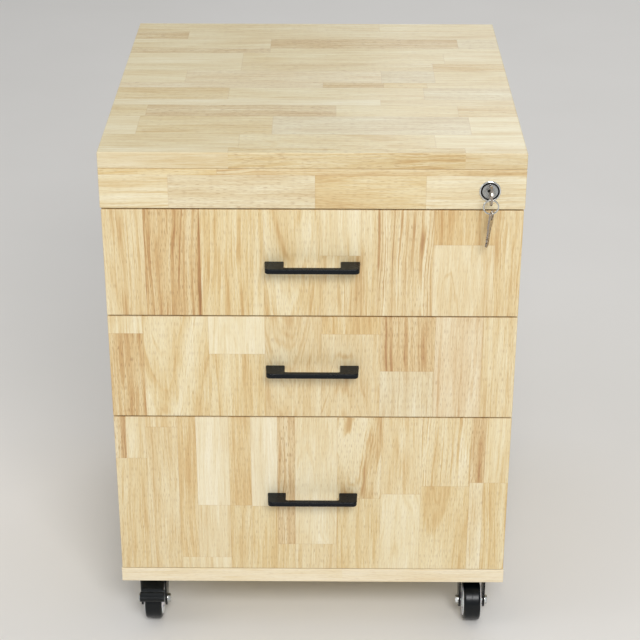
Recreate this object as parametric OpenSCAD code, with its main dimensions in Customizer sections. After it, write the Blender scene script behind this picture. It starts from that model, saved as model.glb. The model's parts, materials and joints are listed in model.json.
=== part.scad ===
// Rolling pedestal cabinet: three drawers on telescopic slides, one lock for all three,
// bridge pulls and four twin-fork swivel casters.
// +X is to the right, +Y to the back, +Z up. The origin is on the floor, under the middle.

/* [Carcass] */
// Width of the cabinet
body_w = 450; // [430:5:520]
// Depth of the top and bottom panels
body_d = 455; // [440:5:520]
// Thickness of the boards
board_t = 18; // [16:1:20]
// Height of the underside of the bottom panel above the floor
caster_h = 66; // [64:1:72]
// Height of the fixed rail above the drawers
rail_h = 45; // [42:1:60]
// Thickness of the back panel
back_t = 6; // [4:1:8]

/* [Drawers] */
// Heights of the drawer fronts, from the top one down
front_h = [125, 125, 204.5]; // [120:0.5:220]
// Gap between two fronts, and above the top one
front_gap = 1.5; // [1:0.5:3]
// How much narrower a front is than the cabinet, on each side
front_inset = 1; // [0:0.5:2]
// Heights of the drawer boxes, from the top one down
box_h = [78, 78, 150]; // [76:1:150]
// Thickness of the drawer box boards
box_t = 12; // [10:1:15]
// Thickness of the drawer bottoms
bottom_t = 5; // [4:1:6]

/* [Slides] */
// Length of a closed slide, and the travel of a drawer
slide_l = 400; // [350:50:400]
// Height of the slide's cabinet member
slide_h = 45; // [42:1:46]
// Thickness of a closed slide, between the side panel and the drawer box
slide_t = 12.7; // [12.7:0.1:13]
// Thickness of the slide's steel
steel_t = 1.2; // [1:0.1:1.2]

/* [Pulls] */
// Length of a pull
pull_l = 103; // [100:1:130]
// How far a pull stands out
pull_out = 21.5; // [20:0.5:24]
// Height of a pull
pull_h = 5.8; // [5:0.1:8]
// Distance between a pull's screws
pull_hole_spacing = 76; // [76:1:96]

/* [Lock] */
// Distance of the lock from the cabinet's centre line
lock_x = 187; // [180:1:190]
// Distance of the lock below the top of the cabinet
lock_down = 41.6; // [40:0.1:44]
// Outer diameter of the lock's trim ring
ring_d = 23; // [22:0.5:26]
// Diameter of the turning plug
plug_d = 17; // [17:0.5:18]
// Height and length of the key's bow
bow_d = 21; // [20:0.5:22]
// Outer diameter of the split ring
split_ring_d = 17; // [17:0.5:18]

/* [Casters] */
// Diameter of a wheel
wheel_d = 48; // [44:1:48]
// Width of the tread
tread_w = 20; // [18:1:22]
// Width of the wheel's hub
hub_w = 25; // [24:1:25]
// Outer width of the fork
fork_w = 31; // [31:0.5:33]
// Distance from the swivel pin to the axle, on the level
trail = 20; // [18:1:22]
// Distance of the swivel pins from the centre line
caster_x = 190.5; // [180:0.5:190.5]

/* [Hidden] */
// Smoothness of round parts
$fn = 48;
eps = 0.01;

// Levels, from the floor up
fronts_h = front_h[0] + front_h[1] + front_h[2] + 3 * front_gap;
bottom_z = caster_h + board_t;
front_low_gap = 1;
rail_z = bottom_z + front_low_gap + fronts_h;
top_z = rail_z + rail_h;
total_h = top_z + board_t;
front_z = [
    rail_z - front_gap - front_h[0],
    rail_z - 2 * front_gap - front_h[0] - front_h[1],
    rail_z - 3 * front_gap - front_h[0] - front_h[1] - front_h[2]
];

// Planes, from front to back; the key stands out in front of the cabinet by key_out
key_out = 25;
front_y = -(body_d + key_out) / 2;
back_y = front_y + key_out + body_d;
face_y = back_y - body_d;
inner_y = face_y + board_t;
half_w = body_w / 2;
side_x = half_w - board_t;

// The back panel lies in a rabbet that runs round the carcass, a little inside its rear edge
rabbet = 8;
back_in = 2;
back_fit_x = side_x + rabbet;
back_face_y = back_y - back_in;

// Dowels; they reach dowel_deep into the thinner board
dowel_d = 8;
dowel_l = 30;
dowel_deep = 10;
dowel_x = half_w - board_t / 2;
dowel_y = [inner_y + 40, 20, back_y - 50];
rail_dowel_up = 12;

// Pan-head wood screws
screw_d = 3.5;
screw_l = 15;
head_d = 7;
head_t = 1.8;
head_slot = [4, 0.8, 1];
back_screw_x = half_w - board_t / 2 - 5;
back_side_screw_z = [bottom_z + 30, bottom_z + 250, top_z - 30];
back_end_screw_x = [-120, 0, 120];

// Drawer boxes
box_half_w = side_x - slide_t;
box_y = inner_y;
box_z = [for (z = front_z) z + 7.5];
bottom_up = 10;
groove = 6;
slide_up = [30, 30, 60];
slide_z = [for (i = [0:2]) box_z[i] + slide_up[i]];
slide_y = inner_y + 3;
slide_screw_at = [40, 200, 370];
pull_screw_l = board_t + box_t + 8;
front_screw_l = box_t + 12;
front_screw_in = 40;

// Slide cross-section, measured from the side panel inwards
cabinet_lip = 9.6;
middle_web = 3.4;
middle_lip = 9.8;
drawer_web = 5.4;
ball_gap = 3;
middle_short = 6;
middle_h = slide_h - 2 * steel_t - 2 * ball_gap;
inner_h = middle_h - 2 * steel_t - 2 * ball_gap;

// Lock
lock_z = total_h - lock_down;
housing_d = 19;
flange_w = 30;
flange_h = 34;
flange_t = 1.5;
housing_screw_up = 13.2;
plug_clear = 0.05;
plug_out = 2.3;
plug_back = 24;
crank_r = 6;
crank_pin_d = 4;
crank_turn = 45;
bar_lift = crank_r * sqrt(2);
blade_t = 2;
blade_h = 7.6;
blade_l = 20;
bow_hole_r = 4;
bow_hole_out = 18.5;
wire_d = 1.5;
ring_r = (split_ring_d - wire_d) / 2;

// Lock bar, in a groove of the right side panel
bar_w = 14;
bar_t = 4;
bar_groove_w = 16;
bar_groove_deep = 6;
bar_y = face_y + 33;
bar_gap = 0.8;
bar_low_z = slide_z[2] - 20;
bar_high_z = lock_z + 16;
stud_d = 6;
stud_up = 32;
stud_z = [for (z = slide_z) z + stud_up];
bar_stud_l = 9.8;
drawer_stud_l = 9.7;
stud_deep = 8;
stud_gap = 0.5;
stud_y = bar_y + stud_d + stud_gap;
guide_z = [for (z = slide_z) z + stud_up + 22];
guide_t = 1;
guide_w = 30;
guide_h = 12;
guide_screw_y = 11.5;

// Casters: the corners' order, and the swivel pins' places
corners = ["front_left", "front_right", "rear_left", "rear_right"];
braked = [0, 3];
pin_y = 45;
caster_at = [
    [-caster_x, face_y + pin_y], [caster_x, face_y + pin_y],
    [-caster_x, back_y - pin_y], [caster_x, back_y - pin_y]
];
wheel_r = wheel_d / 2;
plate_t = 2.5;
plate_w = 56;
plate_hole = 21;
race_d = 38;
race_t = 2.2;
race_gap = 0.3;
pin_d = 9;
fork_top = caster_h - plate_t - race_t - race_gap;
fork_t = 2.2;
crown_t = 2.5;
axle_d = 6;
axle_clear = 0.06;
lug_r = 8.5;
leg_x = fork_w / 2;
leg_back = 14;
leg_l = 40;
hex_d = 11;
hex_t = 4;
rim_r = 19;

// The brake lever turns on a pin through the fork's legs, out over the wheel: [forward, up]
brake_pin = [21.5, fork_top - 3.7];
brake_pin_d = 3;
brake_turn = 12;
lever_w = 26;
lip_w = 29;
lever_hub_r = 2.6;

// The lever's underside is an arc that lies along the tyre when the lever is pressed down
shoe_gap = 0.4;
shoe_r = wheel_r + shoe_gap;
down = [trail, wheel_r] - brake_pin;
shoe_at = brake_pin + [
    down[0] * cos(brake_turn) - down[1] * sin(brake_turn),
    down[0] * sin(brake_turn) + down[1] * cos(brake_turn)
];

// A mirrored pair: the children at +X, and their mirror image
module both_sides() {
    children();
    mirror([1, 0, 0]) children();
}

// A box from one corner to the other
module block(low, high) {
    translate(low) cube(high - low);
}

// A rod along Y, from y0 to y1
module rod_y(x, z, d, y0, y1) {
    translate([x, y1, z]) rotate([90, 0, 0]) cylinder(d = d, h = y1 - y0);
}

// A rod along X, from x0 to x1
module rod_x(y, z, d, x0, x1) {
    translate([x0, y, z]) rotate([0, 90, 0]) cylinder(d = d, h = x1 - x0);
}

// ---- Dowels, shared by the panels that they join ----
module dowel_set() {
    both_sides() {
        for (y = dowel_y, z = [bottom_z - dowel_deep, top_z + dowel_deep - dowel_l])
            translate([dowel_x, y, z]) cylinder(d = dowel_d, h = dowel_l);
        rod_y(dowel_x, rail_z + rail_dowel_up, dowel_d, inner_y - dowel_deep, inner_y - dowel_deep + dowel_l);
    }
}

// ---- Pan-head screws; each is drawn with its head at the origin, its point towards -Z ----
module pan_screw(l = screw_l) {
    difference() {
        union() {
            cylinder(d = head_d, h = head_t);
            translate([0, 0, -l]) cylinder(d = screw_d, h = l);
        }
        for (turn = [0, 90]) rotate([0, 0, turn])
            translate([-head_slot[0] / 2, -head_slot[1] / 2, head_t - head_slot[2]])
                cube(head_slot + [0, 0, eps]);
    }
}

// The screw's pilot hole, to cut out of a board
module pilot(l = screw_l) {
    translate([0, 0, -l]) cylinder(d = screw_d, h = l + eps);
}

// Puts children at each screw of the cabinet members, pointing out into the right side panel
module at_slide_screws() {
    for (z = slide_z, y = slide_screw_at)
        translate([side_x, slide_y + y, z]) rotate([0, -90, 0]) children();
}

// Puts children at each screw of the bar's guide plates
module at_guide_screws() {
    for (z = guide_z, s = [-1, 1])
        translate([side_x - guide_t, bar_y + s * guide_screw_y, z]) rotate([0, -90, 0]) children();
}

// Puts children at each screw of the back panel
module at_back_screws() {
    for (x = [-back_screw_x, back_screw_x], z = back_side_screw_z)
        translate([x, back_face_y, z]) rotate([-90, 0, 0]) children();
    for (x = back_end_screw_x, z = [bottom_z - rabbet / 2, top_z + rabbet / 2])
        translate([x, back_face_y, z]) rotate([-90, 0, 0]) children();
}

module carcass_screws() {
    color("silver") {
        both_sides() at_slide_screws() translate([0, 0, steel_t]) pan_screw();
        at_guide_screws() pan_screw();
        at_back_screws() pan_screw();
        at_housing_screws() translate([0, 0, flange_t]) pan_screw();
    }
}

// ---- Carcass ----
module back_rabbet() {
    block([-back_fit_x, back_face_y - back_t, bottom_z - rabbet],
          [back_fit_x, back_y + eps, top_z + rabbet]);
}

module top_panel() {
    color("burlywood") difference() {
        block([-half_w, face_y, top_z], [half_w, back_y, total_h]);
        back_rabbet();
        dowel_set();
        at_back_screws() pilot();
    }
}

module bottom_panel() {
    color("wheat") difference() {
        block([-half_w, face_y, caster_h], [half_w, back_y, bottom_z]);
        back_rabbet();
        dowel_set();
        at_back_screws() pilot();
        at_caster_screws() pilot();
    }
}

module side_blank() {
    difference() {
        block([side_x, inner_y, bottom_z], [half_w, back_y, top_z]);
        back_rabbet();
        dowel_set();
        at_slide_screws() translate([0, 0, steel_t]) pilot();
        at_back_screws() pilot();
    }
}

module left_side_panel() {
    color("burlywood") mirror([1, 0, 0]) side_blank();
}

module right_side_panel() {
    color("burlywood") difference() {
        side_blank();
        block([side_x - eps, bar_y - bar_groove_w / 2, bar_low_z - 14],
              [side_x + bar_groove_deep, bar_y + bar_groove_w / 2, top_z + eps]);
        at_guide_screws() pilot();
    }
}

module back_panel() {
    color("wheat") difference() {
        block([-back_fit_x, back_face_y - back_t, bottom_z - rabbet],
              [back_fit_x, back_face_y, top_z + rabbet]);
        at_back_screws() pilot();
    }
}

module front_rail() {
    color("burlywood") difference() {
        block([-half_w, face_y, rail_z], [half_w, inner_y, top_z]);
        rod_y(lock_x, lock_z, housing_d, face_y - eps, inner_y + eps);
        dowel_set();
        at_housing_screws() translate([0, 0, flange_t]) pilot();
    }
}

module panel_dowels() {
    color("tan") dowel_set();
}

// ---- Slides; u runs from the side panel inwards, v is the height above the slide's centre ----
module channel(u_web, u_lip, h, web_first) {
    // A steel channel's section: a web and two flanges
    web = web_first ? u_web : u_lip - steel_t;
    translate([web, -h / 2]) square([steel_t, h]);
    for (v = [-h / 2, h / 2 - steel_t]) translate([u_web, v]) square([u_lip - u_web, steel_t]);
}

module slide_bar(z, y0, l) {
    translate([side_x, y0, z]) rotate([-90, 0, 0]) mirror([1, 0, 0]) mirror([0, 1, 0])
        linear_extrude(l) children();
}

module slide_cabinet_members() {
    color("silver") both_sides() difference() {
        for (z = slide_z) slide_bar(z, slide_y, slide_l) {
            channel(0, cabinet_lip, slide_h, true);
            // The flanges' rolled edges
            for (v = [-slide_h / 2 + steel_t, slide_h / 2 - 2 * steel_t])
                translate([cabinet_lip - steel_t, v]) square([steel_t, steel_t]);
        }
        at_slide_screws() translate([0, 0, steel_t]) pilot();
    }
}

module slide_middle(i) {
    color("gainsboro") both_sides()
        slide_bar(slide_z[i], slide_y, slide_l - middle_short)
            channel(middle_web, middle_lip, middle_h, true);
}

module slide_drawer_members(i) {
    color("silver") both_sides() difference() {
        slide_bar(slide_z[i], slide_y, slide_l) channel(drawer_web, slide_t, inner_h, false);
        at_member_screws(i) pilot(20);
    }
}

// ---- Drawers ----
module at_member_screws(i) {
    // In the member's channel, pointing into the drawer side
    for (y = slide_screw_at)
        translate([box_half_w + steel_t, slide_y + y, slide_z[i]]) rotate([0, 90, 0]) children();
}

// Puts children at the pull's screws, seen from inside the box
module at_pull_screws(i) {
    for (s = [-1, 1])
        translate([s * pull_hole_spacing / 2, box_y + box_t, pull_z(i)]) rotate([-90, 0, 0]) children();
}

// Puts children at the screws that hold the front on the box
module at_front_screws(i) {
    for (s = [-1, 1], z = [box_z[i] + 22, box_z[i] + box_h[i] - 14])
        translate([s * (box_half_w - front_screw_in), box_y + box_t, z]) rotate([-90, 0, 0]) children();
}

function pull_z(i) = front_z[i] + front_h[i] / 2;

module drawer_front(i) {
    color("burlywood") difference() {
        block([-half_w + front_inset, face_y, front_z[i]],
              [half_w - front_inset, inner_y, front_z[i] + front_h[i]]);
        at_pull_screws(i) pilot(40);
        at_front_screws(i) pilot(24);
    }
}

module bottom_blank(i) {
    block([-box_half_w + box_t - groove, box_y + box_t - groove, box_z[i] + bottom_up],
          [box_half_w - box_t + groove, box_y + slide_l - box_t + groove,
           box_z[i] + bottom_up + bottom_t]);
}

module drawer_sides(i) {
    color("tan") difference() {
        both_sides() difference() {
            block([box_half_w - box_t, box_y, box_z[i]], [box_half_w, box_y + slide_l, box_z[i] + box_h[i]]);
            bottom_blank(i);
            at_member_screws(i) pilot(screw_l - 5);
        }
        lock_stud(i);
    }
}

// The stud on a drawer's right side, which the lock bar stops
module lock_stud(i) {
    rod_x(stud_y, stud_z[i], stud_d, box_half_w - stud_deep, box_half_w + drawer_stud_l);
}

module drawer_ends(i) {
    color("tan") difference() {
        for (y = [box_y, box_y + slide_l - box_t])
            block([-box_half_w + box_t, y, box_z[i]], [box_half_w - box_t, y + box_t, box_z[i] + box_h[i]]);
        bottom_blank(i);
        at_pull_screws(i) pilot(40);
        at_front_screws(i) pilot(24);
    }
}

module drawer_bottom(i) {
    color("wheat") bottom_blank(i);
}

module drawer_screws(i) {
    color("silver") {
        both_sides() at_member_screws(i) pan_screw(screw_l - 5);
        at_pull_screws(i) pan_screw(pull_screw_l);
        at_front_screws(i) pan_screw(front_screw_l);
        lock_stud(i);
    }
}

// ---- Pulls: a low bridge with a foot at each end ----
module pull(i) {
    foot = 21;
    bar = 6;
    corner = 4;
    half = pull_l / 2;
    color("dimgray") difference() {
        translate([0, face_y, pull_z(i) - pull_h / 2]) linear_extrude(pull_h) difference() {
            polygon([
                [-half, 0], [-half + 1, -pull_out + corner], [-half + 2.2, -pull_out + 1.2],
                [-half + 1 + corner, -pull_out], [half - 1 - corner, -pull_out],
                [half - 2.2, -pull_out + 1.2], [half - 1, -pull_out + corner], [half, 0]
            ]);
            polygon([
                [-half + foot, eps], [-half + foot, -pull_out + bar + 2], [-half + foot + 2, -pull_out + bar],
                [half - foot - 2, -pull_out + bar], [half - foot, -pull_out + bar + 2], [half - foot, eps]
            ]);
        }
        at_pull_screws(i) pilot(pull_screw_l);
    }
}

// ---- Lock ----
module at_housing_screws() {
    for (s = [-1, 1]) translate([lock_x, inner_y, lock_z + s * housing_screw_up])
        rotate([-90, 0, 0]) children();
}

module lock_housing() {
    color("black") difference() {
        union() {
            rod_y(lock_x, lock_z, housing_d, face_y - 1, inner_y + 3);
            block([lock_x - flange_w / 2, inner_y, lock_z - flange_h / 2],
                  [lock_x + flange_w / 2, inner_y + flange_t, lock_z + flange_h / 2]);
        }
        rod_y(lock_x, lock_z, plug_d + 2 * plug_clear, face_y - 2, inner_y + 4);
        at_housing_screws() translate([0, 0, flange_t]) pilot();
    }
}

module lock_trim_ring() {
    color("silver") translate([lock_x, face_y, lock_z]) rotate([90, 0, 0]) rotate_extrude()
        polygon([[housing_d / 2, 0], [ring_d / 2, 0], [ring_d / 2, 1.2], [ring_d / 2 - 0.8, 2.2],
                 [housing_d / 2 + 0.4, 2.5], [housing_d / 2, 2.1]]);
}

module lock_plug() {
    keyway_w = blade_t + 0.16;
    keyway_h = blade_h + 0.2;
    color("silver") difference() {
        union() {
            rod_y(lock_x, lock_z, plug_d, face_y - plug_out, face_y + plug_back);
            rod_y(lock_x + crank_r * cos(crank_turn), lock_z + crank_r * sin(crank_turn), crank_pin_d,
                  face_y + plug_back - eps, face_y + plug_back + 8);
        }
        block([lock_x - keyway_w / 2, face_y - 3, lock_z - keyway_h / 2],
              [lock_x + keyway_w / 2, face_y - 2 + blade_l, lock_z + keyway_h / 2]);
    }
}

// The key's blade, on edge: u runs into the lock from the rail's face, v up
module blade_outline(l) {
    shoulder = -6;
    tip = 3;
    polygon([
        [shoulder, -blade_h / 2], [shoulder, blade_h / 2], [l - tip, blade_h / 2],
        [l, blade_h / 5], [l, -blade_h / 5], [l - tip, -blade_h / 2]
    ]);
}

module lock_key() {
    color("silver") translate([lock_x - blade_t / 2, face_y, lock_z]) rotate([90, 0, 90]) difference() {
        union() {
            linear_extrude(blade_t) blade_outline(blade_l - 3);
            translate([-key_out + bow_d / 2, 0, 0]) cylinder(d = bow_d, h = blade_t);
        }
        translate([-bow_hole_out, 0, -1]) cylinder(r = bow_hole_r, h = blade_t + 2);
    }
}

module key_ring() {
    wire_z = lock_z - bow_hole_r + wire_d / 2 + 0.1;
    color("silver") translate([lock_x, face_y - bow_hole_out, wire_z - ring_r])
        rotate([90, 0, 0]) rotate_extrude() translate([ring_r, 0]) circle(d = wire_d);
}

module lock_bar() {
    tab_y0 = face_y + plug_back + 2;
    tab_y1 = tab_y0 + 3;
    slot_clear = 0.4;
    pin_x = lock_x + crank_r * cos(crank_turn);
    pin_z = lock_z + crank_r * sin(crank_turn);
    bar_x = side_x + bar_gap;
    color("silver") {
        difference() {
            union() {
                block([bar_x, bar_y - bar_w / 2, bar_low_z], [bar_x + bar_t, bar_y + bar_w / 2, bar_high_z]);
                block([lock_x - 6, tab_y0, lock_z - 4], [bar_x + bar_t, tab_y1, bar_high_z]);
            }
            // The slot that the crank pin slides in
            block([pin_x - crank_pin_d / 2 - 1, tab_y0 - 1, pin_z - crank_pin_d / 2 - slot_clear],
                  [lock_x + crank_r + crank_pin_d / 2 + 1, tab_y1 + 1,
                   pin_z + crank_pin_d / 2 + slot_clear]);
        }
        for (z = stud_z)
            rod_x(bar_y, z + bar_lift, stud_d, bar_x - bar_stud_l, bar_x + eps);
    }
}

module lock_bar_guides() {
    color("gainsboro") difference() {
        for (z = guide_z)
            block([side_x - guide_t, bar_y - guide_w / 2, z - guide_h / 2],
                  [side_x, bar_y + guide_w / 2, z + guide_h / 2]);
        at_guide_screws() cylinder(d = screw_d, h = 10, center = true);
    }
}

// ---- Casters ----
module at_caster_screws() {
    for (p = caster_at, sx = [-1, 1], sy = [-1, 1])
        translate([p[0] + sx * plate_hole, p[1] + sy * plate_hole, caster_h - plate_t]) rotate([180, 0, 0])
            children();
}

module caster_plates() {
    pin_z = fork_top - crown_t - race_gap;
    color("black") difference() {
        for (p = caster_at) translate([p[0], p[1], 0]) {
            intersection() {
                block([-plate_w / 2, -plate_w / 2, caster_h - plate_t], [plate_w / 2, plate_w / 2, caster_h]);
                rotate([0, 0, 45]) block([-34, -34, 0], [34, 34, 100]);
            }
            // The upper race, and the king pin with its rivet head
            translate([0, 0, caster_h - plate_t - race_t])
                cylinder(d1 = race_d - 4, d2 = race_d, h = race_t + eps);
            translate([0, 0, pin_z]) cylinder(d = pin_d, h = caster_h - pin_z);
            translate([0, 0, pin_z - 2]) cylinder(d = pin_d + 5, h = 2);
        }
        at_caster_screws() cylinder(d = screw_d, h = 12, center = true);
    }
}

module caster_screws() {
    color("silver") at_caster_screws() pan_screw();
}

// A caster is drawn with its swivel pin at the origin and its wheel towards -Y
module at_caster(k) {
    translate([caster_at[k][0], caster_at[k][1], 0]) children();
}

// Seen from the side, u runs forward from the swivel pin, v up
module from_side(x0, x1) {
    translate([x0, 0, 0]) rotate([90, 0, 90]) linear_extrude(x1 - x0) mirror([1, 0]) children();
}

module fork(k) {
    leg_top = fork_top - crown_t;
    color("black") at_caster(k) difference() {
        union() {
            for (x = [-leg_x, leg_x - fork_t]) from_side(x, x + fork_t) hull() {
                translate([-leg_back, fork_top - 4]) square([leg_l, 4]);
                translate([trail, wheel_r]) circle(r = lug_r, $fn = 32);
            }
            // The crown, between the legs
            block([-leg_x, -17, leg_top], [leg_x, leg_back, fork_top]);
        }
        translate([0, 0, leg_top - 1]) cylinder(d = pin_d + 2 * axle_clear, h = crown_t + 2);
        rod_x(-trail, wheel_r, axle_d, -leg_x - 1, leg_x + 1);
        if (k == braked[0] || k == braked[1])
            rod_x(-brake_pin[0], brake_pin[1], brake_pin_d + 2 * axle_clear, -leg_x - 1, leg_x + 1);
    }
}

module axle(k) {
    color("silver") at_caster(k) {
        rod_x(-trail, wheel_r, axle_d, -leg_x - hex_t, leg_x + hex_t);
        for (x = [-leg_x - hex_t, leg_x])
            translate([x, -trail, wheel_r]) rotate([0, 90, 0]) cylinder(d = hex_d, h = hex_t, $fn = 6);
    }
}

// Half of the wheel's section, turned about the axle: r outwards, w along the axle
module wheel(k) {
    bore_r = axle_d / 2 + axle_clear;
    color("white") at_caster(k) translate([0, -trail, wheel_r]) rotate([0, 90, 0]) rotate_extrude()
        polygon([
            [bore_r, -hub_w / 2], [9, -hub_w / 2], [10, -hub_w / 2 + 3], [rim_r - 3, -tread_w / 2 + 1.5],
            [rim_r - 3, -tread_w / 2 - 0.8], [rim_r, -tread_w / 2 - 0.8], [rim_r, tread_w / 2 + 0.8],
            [rim_r - 3, tread_w / 2 + 0.8], [rim_r - 3, tread_w / 2 - 1.5], [10, hub_w / 2 - 3],
            [9, hub_w / 2], [bore_r, hub_w / 2]
        ]);
}

module tyre(k) {
    shoulder = 3;
    color("dimgray") at_caster(k) translate([0, -trail, wheel_r]) rotate([0, 90, 0]) rotate_extrude()
        difference() {
            union() {
                translate([rim_r, -tread_w / 2]) square([wheel_r - shoulder - rim_r, tread_w]);
                translate([rim_r, -tread_w / 2 + shoulder])
                    square([wheel_r - rim_r, tread_w - 2 * shoulder]);
                for (s = [-1, 1])
                    translate([wheel_r - shoulder, s * (tread_w / 2 - shoulder)]) circle(r = shoulder);
            }
            translate([0, -tread_w]) square([rim_r, 2 * tread_w]);
        }
}

module brake(k) {
    lip = [[22.5, -6.9], [28, -10.9], [29.7, -12.9], [29.7, -16.3], [28.3, -18.3]];
    color("black") at_caster(k) {
        from_side(-lever_w / 2, lever_w / 2) {
            translate(brake_pin) circle(r = lever_hub_r);
            polygon(concat(
                [for (p = concat([[0, lever_hub_r], [5.5, 1.7], [12.5, -1.5]], lip)) brake_pin + p],
                [for (a = [38:6:86]) shoe_at + shoe_r * [cos(a), sin(a)]]
            ));
        }
        from_side(-lip_w / 2, lip_w / 2)
            polygon([for (p = concat(lip, [[27.5, -16.3], [26.5, -13.3], [21.9, -8.7]])) brake_pin + p]);
        rod_x(-brake_pin[0], brake_pin[1], brake_pin_d, -leg_x, leg_x);
    }
}

top_panel();
bottom_panel();
left_side_panel();
right_side_panel();
back_panel();
front_rail();
panel_dowels();
carcass_screws();
slide_cabinet_members();
for (i = [0:2]) {
    slide_middle(i);
    slide_drawer_members(i);
    drawer_front(i);
    drawer_sides(i);
    drawer_ends(i);
    drawer_bottom(i);
    pull(i);
    drawer_screws(i);
}
lock_housing();
lock_trim_ring();
lock_plug();
lock_key();
key_ring();
lock_bar();
lock_bar_guides();
caster_plates();
caster_screws();
for (k = [0:3]) {
    fork(k);
    axle(k);
    wheel(k);
    tyre(k);
}
for (k = braked)
    brake(k);
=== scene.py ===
"""Rolling pedestal cabinet: laminated rubberwood boards, three drawers on telescopic slides,
a cam lock with its keys, black bridge pulls and four twin-fork casters.
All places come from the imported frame, in metres; sizes named here are in metres too."""

import json
import math
import random

import bmesh
import bpy
from mathutils import Euler, Matrix, Vector


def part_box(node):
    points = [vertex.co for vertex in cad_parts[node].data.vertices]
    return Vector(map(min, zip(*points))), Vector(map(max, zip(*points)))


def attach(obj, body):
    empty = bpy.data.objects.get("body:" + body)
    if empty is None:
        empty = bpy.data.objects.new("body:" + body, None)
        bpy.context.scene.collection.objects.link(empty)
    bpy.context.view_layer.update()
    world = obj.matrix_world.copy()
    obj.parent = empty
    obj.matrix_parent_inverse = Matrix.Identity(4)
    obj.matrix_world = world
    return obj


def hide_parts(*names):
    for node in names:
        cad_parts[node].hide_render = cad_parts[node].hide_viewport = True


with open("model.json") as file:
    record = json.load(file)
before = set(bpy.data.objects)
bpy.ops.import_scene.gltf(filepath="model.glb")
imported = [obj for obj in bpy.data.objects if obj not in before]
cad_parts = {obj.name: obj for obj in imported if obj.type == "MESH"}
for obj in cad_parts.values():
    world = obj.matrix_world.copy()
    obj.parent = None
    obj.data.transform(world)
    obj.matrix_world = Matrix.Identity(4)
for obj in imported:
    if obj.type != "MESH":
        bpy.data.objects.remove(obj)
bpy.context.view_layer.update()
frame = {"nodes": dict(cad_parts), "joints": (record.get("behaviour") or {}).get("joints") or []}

MM = 0.001
NODES = frame["nodes"]
JOINT_AT = {j["name"]: Vector(j["pos_m"]) for j in frame["joints"] if "pos_m" in j}
CORNERS = ("front_left", "front_right", "rear_left", "rear_right")
BRAKED = ("front_left", "rear_right")
AXIS = {"x": 0, "y": 1, "z": 2}


# ---------------------------------------------------------------- small tools

def srgb(code):
    """A hex colour as linear red, green, blue and alpha."""
    values = [int(code[i:i + 2], 16) / 255 for i in (1, 3, 5)]
    return [v / 12.92 if v <= 0.04045 else ((v + 0.055) / 1.055) ** 2.4 for v in values] + [1.0]


def add_node(tree, kind, inputs=None, stops=None, **settings):
    """Adds a node. inputs maps a socket to a value, to the output that feeds it, or to a node
    whose first output does, and stops are a colour ramp's (position, hex colour) pairs."""
    made = tree.nodes.new(kind)
    for key, value in settings.items():
        setattr(made, key, value)
    for key, value in (inputs or {}).items():
        if isinstance(value, bpy.types.Node):
            value = value.outputs[0]
        if isinstance(value, bpy.types.NodeSocket):
            tree.links.new(value, made.inputs[key])
        else:
            made.inputs[key].default_value = value
    if stops:
        ramp = made.color_ramp
        while len(ramp.elements) < len(stops):
            ramp.elements.new(1.0)
        for element, (position, code) in zip(ramp.elements, stops):
            element.position = position
            element.color = srgb(code)
    return made


def new_material(name):
    """An empty material, its node tree and its output node."""
    material = bpy.data.materials.new(name)
    material.use_nodes = True
    material.node_tree.nodes.clear()
    return material, material.node_tree


def close_material(tree, shader):
    add_node(tree, "ShaderNodeOutputMaterial", {"Surface": shader})


def new_object(name, data):
    made = bpy.data.objects.new(name, data)
    bpy.context.scene.collection.objects.link(made)
    return made


def settle(piece):
    """Turns a piece's modifiers into plain mesh."""
    bpy.context.view_layer.update()
    graph = bpy.context.evaluated_depsgraph_get()
    mesh = bpy.data.meshes.new_from_object(piece.evaluated_get(graph), depsgraph=graph)
    piece.modifiers.clear()
    old = piece.data
    piece.data = mesh
    mesh.name = piece.name
    bpy.data.meshes.remove(old)


def mesh_of(bm, name):
    bmesh.ops.remove_doubles(bm, verts=bm.verts, dist=1e-7)
    bmesh.ops.recalc_face_normals(bm, faces=bm.faces)
    mesh = bpy.data.meshes.new(name)
    bm.to_mesh(mesh)
    bm.free()
    return mesh


def cut(piece, cutters, operation="DIFFERENCE"):
    """Cuts, joins or crosses a piece with closed meshes."""
    for n, mesh in enumerate(cutters):
        tool = new_object(f"tool_{n}", mesh)
        change = piece.modifiers.new("cut", "BOOLEAN")
        change.operation = operation
        change.solver = "EXACT"
        change.object = tool
        settle(piece)
        bpy.data.objects.remove(tool)
        bpy.data.meshes.remove(mesh)


def round_edges(piece, width, segments=3, angle=40):
    """Rounds every edge sharper than the angle."""
    change = piece.modifiers.new("round", "BEVEL")
    change.width = width
    change.segments = segments
    change.limit_method = "ANGLE"
    change.angle_limit = math.radians(angle)
    change.use_clamp_overlap = True
    settle(piece)


def fit(piece, body, material, replaces=(), smooth=38):
    """Gives a finished mesh its material, its shading and its place in the table."""
    piece.data.materials.clear()
    piece.data.materials.append(material)
    if smooth:
        piece.data.shade_smooth()
        piece.data.set_sharp_from_angle(angle=math.radians(smooth))
        change = piece.modifiers.new("even", "WEIGHTED_NORMAL")
        change.keep_sharp = True
        settle(piece)
    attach(piece, body)
    if replaces:
        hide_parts(*replaces)
    return piece


def arc(centre_u, centre_v, radius, start, end, steps=6):
    """Points on an arc, from one angle to another, in degrees."""
    turns = [math.radians(start + (end - start) * i / steps) for i in range(steps + 1)]
    return [(centre_u + radius * math.cos(t), centre_v + radius * math.sin(t)) for t in turns]


def box_mesh(low, high, bevel=0.0, segments=2):
    bm = bmesh.new()
    middle = (Vector(low) + Vector(high)) / 2
    size = Vector(high) - Vector(low)
    bmesh.ops.create_cube(bm, size=1.0, matrix=Matrix.Translation(middle) @ Matrix.Diagonal((*size, 1)))
    if bevel:
        bmesh.ops.bevel(bm, geom=bm.edges[:], offset=bevel, segments=segments, profile=0.5, affect="EDGES")
    return mesh_of(bm, "box")


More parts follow.
